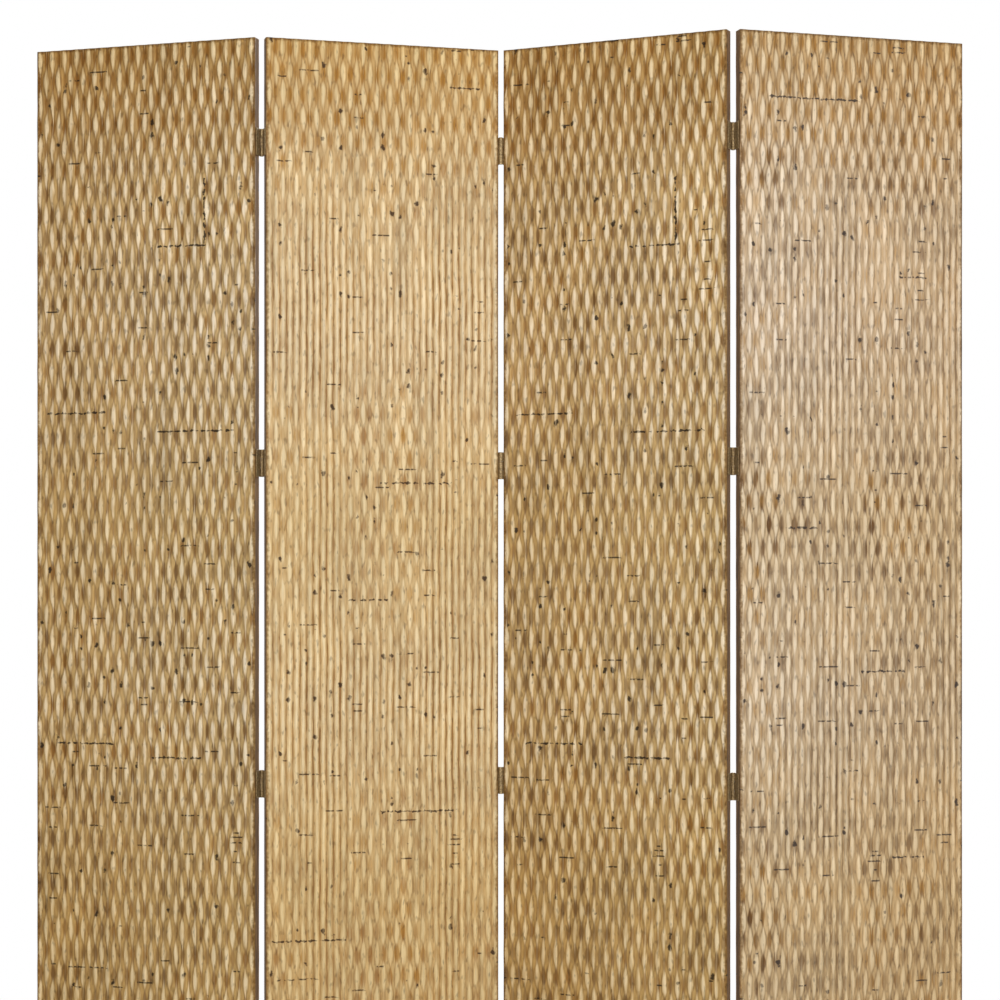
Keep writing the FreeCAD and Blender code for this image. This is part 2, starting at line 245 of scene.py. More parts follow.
def relief_height(turns_across, turns_up, straight):
    """The carving's height, from -1 in a hollow to 1 on a crest."""
    wave = np.cos(2 * math.pi * turns_across) * np.cos(2 * math.pi * turns_up)
    woven = np.sign(wave) * np.abs(wave) ** CREST_FULLNESS
    ridged = np.cos(4 * math.pi * turns_across)
    return (1 - straight) * woven + straight * ridged


print(f"{PANEL_WIDTH / STRAND_PITCH:.1f} waves across a panel, "
      f"{PANEL_HEIGHT / WAVE_PITCH:.1f} up it")

# %% [markdown]
# ## The carved skins
#
# A skin is a thin board with a fine net of faces on its front. One blank board is made with
# bmesh: a grid, stood upright, whose rim is extruded back to the glued face and filled. Each
# of the eight skins is a copy of the blank, pushed into the wave. The net has twelve columns
# to a wave across and ten rows to a wave up, which is enough for smooth flanks. A skin keeps
# what its paint needs to follow the carving: a map of the board in metres, a map that counts
# the waves, and for each vertex how straight the strands are.

# %% A blank board
COLUMNS = 210
ROWS = 260
CARVED_FACE, RIM_FACE = 0, 1  # material slots


def blank_board():
    """A flat board, one unit thick towards -Y, with its glued face at Y zero."""
    board = bmesh.new()
    bmesh.ops.create_grid(board, x_segments=COLUMNS, y_segments=ROWS, size=0.5)
    bmesh.ops.scale(board, vec=(PANEL_WIDTH, PANEL_HEIGHT, 1), verts=board.verts)
    raised = Matrix.Translation((0, -1, PANEL_HEIGHT / 2))
    upright = raised @ Matrix.Rotation(math.radians(90), 4, "X")
    bmesh.ops.transform(board, matrix=upright, verts=board.verts)
    for face in board.faces:
        face.smooth = True
    rim = [edge for edge in board.edges if edge.is_boundary]
    walls = bmesh.ops.extrude_edge_only(board, edges=rim)["geom"]
    glued = [item for item in walls if isinstance(item, bmesh.types.BMVert)]
    bmesh.ops.translate(board, vec=(0, 1, 0), verts=glued)
    open_rim = [edge for edge in board.edges if edge.is_boundary]
    bmesh.ops.contextual_create(board, geom=open_rim)
    for face in board.faces:
        face.material_index = CARVED_FACE if face.smooth else RIM_FACE
    bmesh.ops.recalc_face_normals(board, faces=board.faces)
    return board


board = blank_board()
blank = bpy.data.meshes.new("blank_board")
board.to_mesh(blank)
board.free()
print(f"blank board: {len(blank.vertices)} vertices, {len(blank.polygons)} faces")

# %% [markdown]
# ## Eight carved skins
#
# Each skin has its own seed for the slow waves, so no two are alike, as no two carved boards
# are. NumPy moves all of a skin's vertices at once, which is far quicker than a loop. A back
# skin is a front skin that was turned by half a turn about the panel's middle line.

# %% Eight carved skins
def read_places(mesh):
    """A mesh's vertices as an array of X, Y and Z."""
    places = np.empty(3 * len(mesh.vertices))
    mesh.vertices.foreach_get("co", places)
    return places.reshape(-1, 3)


def keep_map(mesh, name, across, up):
    """A named map of the board, from two numbers for each vertex."""
    corners = np.empty(len(mesh.loops), dtype=int)
    mesh.loops.foreach_get("vertex_index", corners)
    pairs = np.stack((across, up), axis=1)[corners]
    mesh.uv_layers.new(name=name).uv.foreach_set("vector", pairs.ravel())


def keep_values(mesh, name, values):
    """One named value for each vertex."""
    mesh.attributes.new(name, "FLOAT", "POINT").data.foreach_set("value", values)


def carve_skin(name, number, seed, place):
    """A skin carved from the blank board, standing in its place."""
    mesh = blank.copy()
    mesh.name = name
    places = read_places(mesh)
    across, up = places[:, 0], places[:, 2]
    turns = wave_turns(across, up, seed)
    straight = straight_share(across, up, seed, STRAIGHT_SHARES[number])
    keep_map(mesh, "board_map", across, up)
    keep_map(mesh, "wave_map", *turns)
    keep_values(mesh, "straight", straight)
    depth = RELIEF_DEPTH * (1 - relief_height(*turns, straight)) / 2
    places[:, 1] *= SKIN_THICKNESS - depth
    mesh.vertices.foreach_set("co", places.ravel())
    mesh.transform(place)
    mesh.update()
    skin = bpy.data.objects.new(name, mesh)
    bpy.context.scene.collection.objects.link(skin)
    return skin


SKIN_SIDES = {"front": 0, "back": HALF_TURN}
SEED_STEP = 1.7
skins = {}
for number in range(1, PANEL_COUNT + 1):
    for side, turn in SKIN_SIDES.items():
        on_core = Matrix.Rotation(turn, 4, "Z") @ Matrix.Translation((0, -CORE_THICKNESS / 2, 0))
        seed = number * SEED_STEP + turn
        skin = carve_skin(f"carved_{side}_{number}", number, seed, panel_place(number) @ on_core)
        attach(skin, f"panel_{number}")
        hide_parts(f"panel_{number}_{side}_skin")
        skins[number, side] = skin
print(f"{len(skins)} skins carved")

# %% [markdown]
# ## The paint on the carving
#
# The real finish is built up in layers: a tan ground, a brown glaze left in the hollows, dark
# lines along the crests' flanks, cream over the crests, and dark flecks and scratches beaten in
# last. The dark lines are partly glaze and partly painted shade on the flanks, and the cream is
# partly brushed paint and partly a painted highlight on the crests' tops. Every panel has its own
# mix of the same paints, and panels 1 and 3 are mixed darker than panel 2, partly as painted
# shade, because they turn away from the side lamp. "Patch" is the golden paint that takes the
# glaze's place here and there, and along the top.

# %% Paint colours
# Panels 1 and 3 take darker hollows, grounds and patches than panel 2, partly as painted shade,
# because they turn away from the side lamp. Each "line" colour is partly painted shade on the
# crests' flanks, and each "crest" colour partly a painted highlight.
PAINTS_AND_PAINTED_LIGHT = {
    1: {"hollow": paint(117, 82, 41), "ground": paint(199, 168, 117), "line": paint(108, 78, 42),
        "crest": paint(238, 222, 196), "patch": paint(144, 101, 46), "fleck": paint(34, 24, 14)},
    2: {"hollow": paint(155, 108, 54), "ground": paint(212, 184, 139), "line": paint(138, 101, 60),
        "crest": paint(229, 209, 172), "patch": paint(170, 124, 56), "fleck": paint(56, 36, 22)},
    3: {"hollow": paint(117, 82, 41), "ground": paint(197, 166, 115), "line": paint(108, 78, 42),
        "crest": paint(236, 220, 194), "patch": paint(144, 101, 46), "fleck": paint(34, 24, 14)},
    4: {"hollow": paint(104, 72, 41), "ground": paint(202, 178, 147), "line": paint(92, 69, 49),
        "crest": paint(225, 209, 188), "patch": paint(160, 121, 68), "fleck": paint(54, 46, 44)},
}
print(f"{len(PAINTS_AND_PAINTED_LIGHT)} panels' paints mixed")

# %% [markdown]
# ## Masks that follow the wave
#
# Each layer is a mask laid over the one before. The masks come from the map that counts the
# waves, because a shader works at every pixel. A crest is where the angle to the nearest crest
# line, read off the wave across, is less than the crest's half width, which swells and fades
# with the wave up. That draws pointed lenses, whose tips reach a little past those of the next
# row, as the cutter leaves them. A hollow is the same lens on the lines between, and a dark
# line lies just outside a crest. Noise moves all their edges, as a brush does.

# %% Masks that follow the wave
CREST_HALF_WIDTH = 1.05  # radians of the wave across, at a lens's middle
HOLLOW_HALF_WIDTH = 1.28
CREST_OVERLAP = 0.5  # how far a lens's tips reach past the next row's, as a share of the wave
HOLLOW_OVERLAP = 0.05
BRUSH_SHIFT = 1.1  # radians by which the two noises move a lens's edge
TOUCH_SHIFT = 0.9
CREST_EDGE = (-0.45, 0.75)  # a fade starts and ends this far inside a lens, in radians
HOLLOW_EDGE = (-0.45, 0.6)
# The dark line just outside a crest is partly glaze and partly painted shade on the crest's flanks.
LINE_OUTER_EDGE = (-1.0, -0.4)
LINE_INNER_EDGE = (0.2, -0.3)
RIDGE_EDGE = (-0.1, 0.95)  # the same for straight strands, as heights of their own wave
FURROW_EDGE = (-0.4, -1.1)
# Between straight strands the dark line lies in the furrow, partly glaze and partly painted shade.
FURROW_LINE_EDGE = (-0.35, -0.95)
STRAIGHT_HOLLOWS = 0.85  # share of the straight strands that the hollows' paint follows
WOVEN_LINES = 0.65  # how strong the lines beside woven crests are, against those between strands


def lens(tree, wave_up, from_line, half_width, overlap, uneven):
    """How far inside a pointed lens a place is, in radians of the wave across."""
    swell = sums(tree, "DIVIDE", sums(tree, "ADD", wave_up, overlap), 1 + overlap)
    return sums(tree, "SUBTRACT", sums(tree, "MULTIPLY_ADD", swell, half_width, uneven), from_line)


def lens_pair(tree, wave_up, from_even, from_odd, half_width, overlap, uneven):
    """The lenses on the even and on the odd lines, which take turns up the panel."""
    wave_down = sums(tree, "MULTIPLY", wave_up, -1)
    even = lens(tree, wave_up, from_even, half_width, overlap, uneven)
    odd = lens(tree, wave_down, from_odd, half_width, overlap, uneven)
    return sums(tree, "MAXIMUM", even, odd)


def wave_masks(tree, brushed, touched):
    """Masks from 0 to 1 of the crests, the hollows and the dark lines beside the crests."""
    turns = node(tree, "ShaderNodeUVMap", {}, uv_map="wave_map").outputs[0]
    parts = node(tree, "ShaderNodeSeparateXYZ", {0: turns})
    share = node(tree, "ShaderNodeAttribute", {}, attribute_name="straight").outputs["Fac"]
    across = sums(tree, "MULTIPLY", parts.outputs[0], 2 * math.pi)
    wave_up = sums(tree, "COSINE", sums(tree, "MULTIPLY", parts.outputs[1], 2 * math.pi))
    from_even = sums(tree, "ARCCOSINE", sums(tree, "COSINE", across))
    from_odd = sums(tree, "SUBTRACT", math.pi, from_even)
    mean_shift = -(BRUSH_SHIFT + TOUCH_SHIFT) / 2
    uneven = sums(tree, "MULTIPLY_ADD", touched, TOUCH_SHIFT, mean_shift)
    uneven = sums(tree, "MULTIPLY_ADD", brushed, BRUSH_SHIFT, uneven)

    crest = lens_pair(tree, wave_up, from_even, from_odd, CREST_HALF_WIDTH, CREST_OVERLAP, uneven)
    hollow = lens_pair(tree, wave_up, from_odd, from_even, HOLLOW_HALF_WIDTH, HOLLOW_OVERLAP,
                       uneven)
    ridge = sums(tree, "ADD", sums(tree, "COSINE", sums(tree, "MULTIPLY", across, 2)), uneven)
    bared = sums(tree, "MULTIPLY", share, STRAIGHT_HOLLOWS)
    near = fade(tree, crest, *LINE_OUTER_EDGE)
    beside = sums(tree, "MULTIPLY", near, fade(tree, crest, *LINE_INNER_EDGE))
    beside = sums(tree, "MULTIPLY", beside, WOVEN_LINES)
    masks = {}
    for name, amount, woven, ridged in (
            ("crest", share, fade(tree, crest, *CREST_EDGE), fade(tree, ridge, *RIDGE_EDGE)),
            ("hollow", bared, fade(tree, hollow, *HOLLOW_EDGE), fade(tree, ridge, *FURROW_EDGE)),
            ("line", share, beside, fade(tree, ridge, *FURROW_LINE_EDGE))):
        inputs = {0: amount, 2: woven, 3: ridged}
        masks[name] = node(tree, "ShaderNodeMix", inputs, data_type="FLOAT").outputs[0]
    return masks


print(f"crests at most {CREST_HALF_WIDTH / math.pi:.0%} of a strand's pitch wide")

# %% [markdown]
# ## Flecks and dashes
#
# The real board was beaten and scratched before it was sold, to make it look old. Small marks
# are scattered with a Voronoi texture: it divides the board into uneven cells, gives each cell
# a chance colour, and tells how far a place lies from the cell's middle. Only the cells with
# the highest chances get a mark, round for a fleck and level for a dash.

# %% Flecks and dashes
FLECK_CELL = (16 * MM, 24 * MM)
FLECK_CROWDS = (130 * MM, 110 * MM)  # width and height of the places with many flecks
CROWD_EDGE = (0.40, 0.62)
FLECK_CHANCES = (0.985, 0.86)  # what a cell's chance must exceed, in a thin place and in a crowd
FLECK_SIZES = (0.06, 0.17)  # a fleck's least size and how much chance adds, as shares of a cell
FLECK_RAGGEDNESS = 0.45
FLECK_EDGE = (0.32, 0.14)
DASH_CELL = (46 * MM, 11 * MM)
DASH_LENGTH = 40 * MM
DASH_THICKNESS = 2.7 * MM
DASH_CHANCE = 0.94
DASH_END = 0.04  # how softly a dash ends, as a share of its cell
DASH_SIDES = (1.6, 0.4)  # where its sides begin to fade in and are full, in half thicknesses
DASH_BREAKS = (0.35, 0.5)  # the noise below which a dash is broken, and above which it is whole


def cell_places(tree, board_map, size, seed):
    """Uneven cells on the board, and where a place lies from the middle of its cell."""
    width, height = size
    inputs = {"Vector": board_map, "Location": (seed, seed, 0), "Scale": (1 / width, 1 / height, 1)}
    moved = node(tree, "ShaderNodeMapping", inputs).outputs[0]
    inputs = {"Vector": moved, "Scale": 1.0}
    cells = node(tree, "ShaderNodeTexVoronoi", inputs, voronoi_dimensions="2D")
    ends = {0: moved, 1: cells.outputs["Position"]}
    offset = node(tree, "ShaderNodeVectorMath", ends, operation="SUBTRACT")
    chance = node(tree, "ShaderNodeSeparateColor", {0: cells.outputs["Color"]})
    return cells.outputs["Distance"], offset.outputs[0], chance.outputs


def spots(tree, board_map, ragged, seed):
    """Dark flecks where the board was beaten, thick in some places and thin in others."""
    distance, _, chance = cell_places(tree, board_map, FLECK_CELL, seed)
    crowd = clouds(tree, board_map, FLECK_CROWDS, seed + 9)
    chosen = sums(tree, "GREATER_THAN", chance[0], fade(tree, crowd, *CROWD_EDGE, *FLECK_CHANCES))
    least, more = FLECK_SIZES
    size = sums(tree, "MULTIPLY_ADD", chance[1], more, least)
    beyond = sums(tree, "MULTIPLY_ADD", ragged, FLECK_RAGGEDNESS, distance)
    edge = sums(tree, "SUBTRACT", beyond, size)
    return sums(tree, "MULTIPLY", chosen, fade(tree, edge, *FLECK_EDGE))


def dashes(tree, board_map, ragged, seed):
    """Short level scratches, each in a cell of its own."""
    cell_width, cell_height = DASH_CELL
    _, offset, chance = cell_places(tree, board_map, DASH_CELL, seed)
    parts = node(tree, "ShaderNodeSeparateXYZ", {0: offset})
    half_length = sums(tree, "MULTIPLY", chance[1], DASH_LENGTH / 2 / cell_width)
    beyond = sums(tree, "SUBTRACT", sums(tree, "ABSOLUTE", parts.outputs[0]), half_length)
    along = fade(tree, beyond, DASH_END, -DASH_END)
    half_thickness = DASH_THICKNESS / 2 / cell_height
    outer, inner = (half_thickness * side for side in DASH_SIDES)
    thin = fade(tree, sums(tree, "ABSOLUTE", parts.outputs[1]), outer, inner)
    chosen = sums(tree, "GREATER_THAN", chance[0], DASH_CHANCE)
    broken = sums(tree, "MULTIPLY", chosen, fade(tree, ragged, *DASH_BREAKS))
    return sums(tree, "MULTIPLY", broken, sums(tree, "MULTIPLY", along, thin))


print(f"flecks in cells of {FLECK_CELL[0] / MM:.0f} by {FLECK_CELL[1] / MM:.0f} mm")

# %% [markdown]
# ## Long scratches
#
# A few scratches are long enough to be seen from across a room, so each has a place of its own
# instead of a chance one. The shader measures how far a place lies outside the nearest
# scratch's box, and noise makes the box ragged and broken.

# %% Long scratches
# For each panel: middle, across from the panel's middle line and up from its foot, then
# length across and length up.
SCRATCHES = {
    1: [(75 * MM, 1760 * MM, 92 * MM, 0), (119 * MM, 1822 * MM, 0, 118 * MM),
        (102 * MM, 1420 * MM, 150 * MM, 0), (-140 * MM, 1457 * MM, 116 * MM, 0),
        (62 * MM, 820 * MM, 96 * MM, 0), (-120 * MM, 844 * MM, 110 * MM, 0)],
    2: [(153 * MM, 2060 * MM, 58 * MM, 0), (61 * MM, 1326 * MM, 132 * MM, 0),
        (66 * MM, 720 * MM, 140 * MM, 0), (-136 * MM, 487 * MM, 138 * MM, 0),
        (-30 * MM, 1110 * MM, 70 * MM, 0)],
    3: [(79 * MM, 1754 * MM, 96 * MM, 0), (121 * MM, 1816 * MM, 0, 118 * MM),
        (106 * MM, 1416 * MM, 140 * MM, 0), (-136 * MM, 1454 * MM, 112 * MM, 0),
        (66 * MM, 823 * MM, 92 * MM, 0), (-116 * MM, 845 * MM, 110 * MM, 0)],
    4: [(-76 * MM, 2017 * MM, 178 * MM, 0), (120 * MM, 1700 * MM, 52 * MM, 0),
        (-100 * MM, 1240 * MM, 60 * MM, 0), (60 * MM, 980 * MM, 84 * MM, 0),
        (110 * MM, 640 * MM, 60 * MM, 0)],
}
SCRATCH_WIDTH = (-3.6 * MM, 9 * MM)  # half a scratch's width at the noise's least, and what it adds
SCRATCH_EDGE = (0.9 * MM, -0.5 * MM)


def scratches(tree, board_map, places, ragged):
    """The long scratches, each a thin level or upright box with ragged edges."""
    parts = node(tree, "ShaderNodeSeparateXYZ", {0: board_map})
    nearest = None
    for across, up, length, height in places:
        from_side = sums(tree, "ABSOLUTE", sums(tree, "SUBTRACT", parts.outputs[0], across))
        from_level = sums(tree, "ABSOLUTE", sums(tree, "SUBTRACT", parts.outputs[1], up))
        beyond_side = sums(tree, "SUBTRACT", from_side, length / 2)
        beyond_level = sums(tree, "SUBTRACT", from_level, height / 2)
        distance = sums(tree, "MAXIMUM", beyond_side, beyond_level)
        nearest = sums(tree, "MINIMUM", nearest, distance) if nearest else distance
    least, more = SCRATCH_WIDTH
    wide = sums(tree, "MULTIPLY_ADD", ragged, more, least)
    return fade(tree, sums(tree, "SUBTRACT", nearest, wide), *SCRATCH_EDGE)


print(f"{sum(len(places) for places in SCRATCHES.values())} long scratches placed")

# %% [markdown]
# ## Tints across a panel
#
# The colour isn't the same all over a panel: it is browner near the foot and the top, warmer
# and darker towards one side on three of the panels, and darker along the edges. Each of these
# is a tint, multiplied into the colour.

# %% Tints across a panel
HEIGHT_TONES = (  # how the paint's tone changes up a panel, from its foot (0) to its top (1)
    (0.0, (0.86, 0.79, 0.62, 1)),
    (0.27, (0.91, 0.85, 0.68, 1)),
    (0.43, (0.98, 0.97, 0.92, 1)),
    (0.59, (0.94, 0.91, 0.80, 1)),
    (0.75, (1.0, 1.0, 1.0, 1)),
    (0.90, (0.98, 0.96, 0.90, 1)),
    (1.0, (0.90, 0.82, 0.62, 1)),
)
# WARM darkens and warms one side of a panel, and BORDER darkens a ragged band along its edges.
WARM = (0.94, 0.89, 0.80, 1)  # the tint of the side that looks older
WARM_SIDES = {1: -1, 3: -1, 4: 1}  # which side that is, left (-1) or right (1)
BORDER = (0.50, 0.42, 0.32, 1)  # the tint that is rubbed along a panel's edges
BORDER_WIDTH = 9 * MM


def tinted_by_place(tree, board_map, number, ragged, colour):
    """Change a panel's colour up the panel, towards one side and along its edges."""
    parts = node(tree, "ShaderNodeSeparateXYZ", {0: board_map})
    across, up = parts.outputs[:2]
    height_share = sums(tree, "DIVIDE", up, PANEL_HEIGHT)
    ramp = node(tree, "ShaderNodeValToRGB", {0: height_share})
    stops = ramp.color_ramp.elements
    for (place, tint), stop in zip((HEIGHT_TONES[0], HEIGHT_TONES[-1]), stops):
        stop.position = place
        stop.color = tint
    for place, tint in HEIGHT_TONES[1:-1]:
        stops.new(place).color = tint
    colour = blend(tree, 1.0, colour, ramp.outputs[0], "MULTIPLY")
    if number in WARM_SIDES:
        reach = WARM_SIDES[number] * PANEL_WIDTH / 2
        colour = blend(tree, fade(tree, across, -reach, reach), colour, WARM, "MULTIPLY")
    from_side = sums(tree, "SUBTRACT", PANEL_WIDTH / 2, sums(tree, "ABSOLUTE", across))
    from_end = sums(tree, "MINIMUM", up, sums(tree, "SUBTRACT", PANEL_HEIGHT, up))
    from_edge = sums(tree, "MINIMUM", from_side, from_end)
    worn = sums(tree, "MULTIPLY_ADD", ragged, -BORDER_WIDTH, from_edge)
    rubbed = fade(tree, worn, BORDER_WIDTH / 4, -BORDER_WIDTH / 2)
    return blend(tree, rubbed, colour, BORDER, "MULTIPLY")


print(f"{len(HEIGHT_TONES)} tones from a panel's foot to its top")

# %% [markdown]
# ## The layers together
#
# Here the layers are laid over one another in the order in which a painter would lay them.
# Each noise is given a size in millimetres that fits its cause: streaks for the brush, patches
# for the glaze, long streaks for strands that took the paint differently, and grit for the dirt.

# %% The layered paint
STREAK = (2.4 * MM, 30 * MM)  # width and height of the brush's marks
TOUCH = (9 * MM, 34 * MM)  # of the places where the brush touched more or less
BROAD_PATCH = (110 * MM, 160 * MM)  # of the golden patches
GLAZE_PATCH = (13 * MM, 150 * MM)  # of the places where the glaze is thick or thin
FINE_STREAK = (2.4 * MM, 50 * MM)
STRAND_STREAK = (9 * MM, 400 * MM)
RAG = (7 * MM, 7 * MM)
GRIT = (6 * MM, 16 * MM)
GLAZE_EDGE = (0.32, 0.62)
GLAZE_LEAST = 0.55
GOLDEN_PATCHES = (0.42, 0.62)
GOLDEN_TOP = (0.84, 0.96)  # the heights, as shares, between which the hollows turn golden
GOLDEN_GROUND = 0.32  # how much of that gold the ground takes
LINE_GLAZE_AND_SHADE_STRENGTH = 0.75
LEAST_TONE = 0.58  # the paint's tone is this and what three noises add to it
BROAD_TONE = 0.26
FINE_TONE = 0.4
STRAND_TONE = 0.3
GRIT_EDGE = (0.58, 0.85)
GRIT_STRENGTH = 0.42
KEPT_MARKS = (0.92, 0.6)  # how dark a mark is off the crests and on them
CREST_COVER = (0.2, 1.0)  # the crest mask's values between which a mark grows fainter
# The crests' cream is partly brushed paint and partly a painted highlight on their tops.
CREAM_AND_HIGHLIGHT = (0.6, 1.0)  # how much cream a crest takes where the brush touched less and more
TOUCH_EDGE = (0.25, 0.6)
PAINT_SHINE = 0.12
PAINT_ROUGHNESS = (0.5, 0.66)
MOST_NOISE = (0.3, 0.7)  # nearly all of a noise lies between these


def toned(tree, board_map, seed, broad, colour):
    """A colour made lighter and darker by broad patches, strands and fine streaks."""
    fine = clouds(tree, board_map, FINE_STREAK, seed + 3)
    strand = clouds(tree, board_map, STRAND_STREAK, seed + 6, 0.0)
    level = sums(tree, "MULTIPLY_ADD", broad, BROAD_TONE, LEAST_TONE)
    level = sums(tree, "MULTIPLY_ADD", fine, FINE_TONE, level)
    level = sums(tree, "MULTIPLY_ADD", strand, STRAND_TONE, level)
    tone = node(tree, "ShaderNodeCombineXYZ", {0: level, 1: level, 2: level}).outputs[0]
    return blend(tree, 1.0, colour, tone, "MULTIPLY")


def carved_paint_and_painted_light(side, number, seed):
    """The layered paint of one skin, with painted shade and a painted highlight among its layers.
    """
    colours = PAINTS_AND_PAINTED_LIGHT[number]
    material, tree, shader = new_material(f"carved_paint_{side}_{number}")
    board_map = node(tree, "ShaderNodeUVMap", {}, uv_map="board_map").outputs[0]
    brushed = clouds(tree, board_map, STREAK, seed)
    touched = clouds(tree, board_map, TOUCH, seed + 2)
    masks = wave_masks(tree, brushed, touched)
    thickness = clouds(tree, board_map, GLAZE_PATCH, seed + 13)
    glaze = fade(tree, thickness, *GLAZE_EDGE, GLAZE_LEAST, 1.0)
    hollow_mask = sums(tree, "MULTIPLY", masks["hollow"], glaze)
    line_glaze_and_shade_mask = sums(tree, "MULTIPLY", masks["line"], glaze)

    broad = clouds(tree, board_map, BROAD_PATCH, seed + 5, 2.0)
    up = node(tree, "ShaderNodeSeparateXYZ", {0: board_map}).outputs[1]
    top = fade(tree, sums(tree, "DIVIDE", up, PANEL_HEIGHT), *GOLDEN_TOP)
    golden = sums(tree, "MAXIMUM", fade(tree, broad, *GOLDEN_PATCHES), top)
    hollow = blend(tree, golden, colours["hollow"], colours["patch"])
    gilded = sums(tree, "MULTIPLY", top, GOLDEN_GROUND)
    ground = blend(tree, gilded, colours["ground"], colours["patch"])
    colour = blend(tree, hollow_mask, ground, hollow)
    # Dark lines along the crests' flanks: partly glaze, partly painted shade.
    colour = blend(tree, sums(tree, "MULTIPLY", line_glaze_and_shade_mask, LINE_GLAZE_AND_SHADE_STRENGTH), colour, colours["line"])
    # Cream over the crests: partly brushed paint, partly a painted highlight.
    cream_and_highlight = sums(tree, "MULTIPLY", masks["crest"], fade(tree, touched, *TOUCH_EDGE, *CREAM_AND_HIGHLIGHT))
    colour = blend(tree, cream_and_highlight, colour, colours["crest"])
    ragged = clouds(tree, board_map, RAG, seed + 7)
    colour = tinted_by_place(tree, board_map, number, ragged, colour)
    colour = toned(tree, board_map, seed, broad, colour)

    flecked = spots(tree, board_map, ragged, seed)
    marks = sums(tree, "MAXIMUM", flecked, dashes(tree, board_map, ragged, seed + 4))
    if side == "front":
        marks = sums(tree, "MAXIMUM", marks, scratches(tree, board_map, SCRATCHES[number], ragged))
    kept = sums(tree, "MULTIPLY", marks, fade(tree, masks["crest"], *CREST_COVER, *KEPT_MARKS))
    colour = blend(tree, kept, colour, colours["fleck"])
    grit = clouds(tree, board_map, GRIT, seed + 11)
    smudged = fade(tree, grit, *GRIT_EDGE, 0.0, GRIT_STRENGTH)
    colour = blend(tree, smudged, colour, colours["fleck"])

    tree.links.new(colour, shader.inputs["Base Color"])
    roughness = fade(tree, brushed, *MOST_NOISE, *PAINT_ROUGHNESS)
    tree.links.new(roughness, shader.inputs["Roughness"])
    shader.inputs["Specular IOR Level"].default_value = PAINT_SHINE
    return material


for (number, side), skin in skins.items():
    skin.data.materials.append(carved_paint_and_painted_light(side, number, number + len(side)))
print(f"{len(skins)} skins painted")

# %% [markdown]
# ## The boards' edges and the frame
#
# The photo shows the panels' narrow edges as dark brown. The paint is laid on the skins' glued
# rims and on the CAD model's own stiles and rails, which need no other change. Its noise is
# stretched upwards, so that it looks like paint rubbed along the wood's grain.

# %% Edge paint
GRAIN_SIZE = 4 * MM
GRAIN_STRETCH = 0.06
GRAIN_EDGE = (0.3, 0.75)
EDGE_BROWNS = (paint(86, 60, 36), paint(150, 116, 78))
EDGE_ROUGHNESS = (0.5, 0.7)


def edge_paint():
    """Dark brown paint rubbed over the boards' edges and the frame."""
    material, tree, shader = new_material("edge_paint")
    place = node(tree, "ShaderNodeTexCoord", {}).outputs["Object"]
    inputs = {"Vector": place, "Scale": (1, 1, GRAIN_STRETCH)}
    stretched = node(tree, "ShaderNodeMapping", inputs).outputs[0]
    inputs = {"Vector": stretched, "Scale": 1 / GRAIN_SIZE, "Detail": 3.0}
    grain = node(tree, "ShaderNodeTexNoise", inputs).outputs["Fac"]
    colour = blend(tree, fade(tree, grain, *GRAIN_EDGE), *EDGE_BROWNS)
    tree.links.new(colour, shader.inputs["Base Color"])
    roughness = fade(tree, grain, *MOST_NOISE, *EDGE_ROUGHNESS)
    tree.links.new(roughness, shader.inputs["Roughness"])
    shader.inputs["Specular IOR Level"].default_value = PAINT_SHINE
    return material


dark_edge = edge_paint()
for skin in skins.values():
    skin.data.materials.append(dark_edge)
for name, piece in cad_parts.items():
    if "stile" in name or "rail" in name:
        piece.data.materials.clear()
        piece.data.materials.append(dark_edge)
print("edges and frames painted")

# %% [markdown]
# ## The hinges
#
# A rolled butt hinge is a strip of sheet whose end is rolled round the pin. So each leaf is
# made that way: a plate for the blade, and for each knuckle a small upright rectangle at the
# pin's side, spun round the pin to make the roll and pushed out to make the neck. The plate
# starts as an outline with two circles in it, filled with triangles and pushed out to the
# sheet's thickness; widening the circles on one face makes them countersunk holes. A leaf is
# laid out about its pin, as in the CAD model, and turned to whichever panel edge it is on.
# Round things get enough sides here to look round from close by, and a bevel softens every
# edge that the light would catch.

# %% Hinge leaves
HINGES_PER_SEAM = 4
HINGE_INSET = 188 * MM
LEAF_LENGTH = 50 * MM
LEAF_THICKNESS = 1.5 * MM
BARREL_RADIUS = 3.25 * MM
PIN_RADIUS = 1.6 * MM
PIN_CLEARANCE = 0.05 * MM
KNUCKLE_GAP = 0.3 * MM
BLADE_START = BARREL_RADIUS + 0.4 * MM
PIN_TO_SCREWS = BARREL_RADIUS + 0.5 * MM + CORE_THICKNESS / 2 + SKIN_THICKNESS
BLADE_END = PIN_TO_SCREWS + 4.8 * MM  # a screw's middle to the blade's edge
KNUCKLE_LENGTH = (LEAF_LENGTH - 2 * KNUCKLE_GAP) / 3
SCREW_SPACING = 28 * MM
SHANK_RADIUS = 1.7 * MM
HEAD_RADIUS = SHANK_RADIUS + LEAF_THICKNESS
SCREW_CLEARANCE = 0.05 * MM
ROUND_SIDES = 32
ROLL_ANGLE = math.radians(298)
ROLL_STEPS = 28
PIN_SIDES = (1, -1, 1)  # each seam's pins, at the back (1) or at the front (-1)


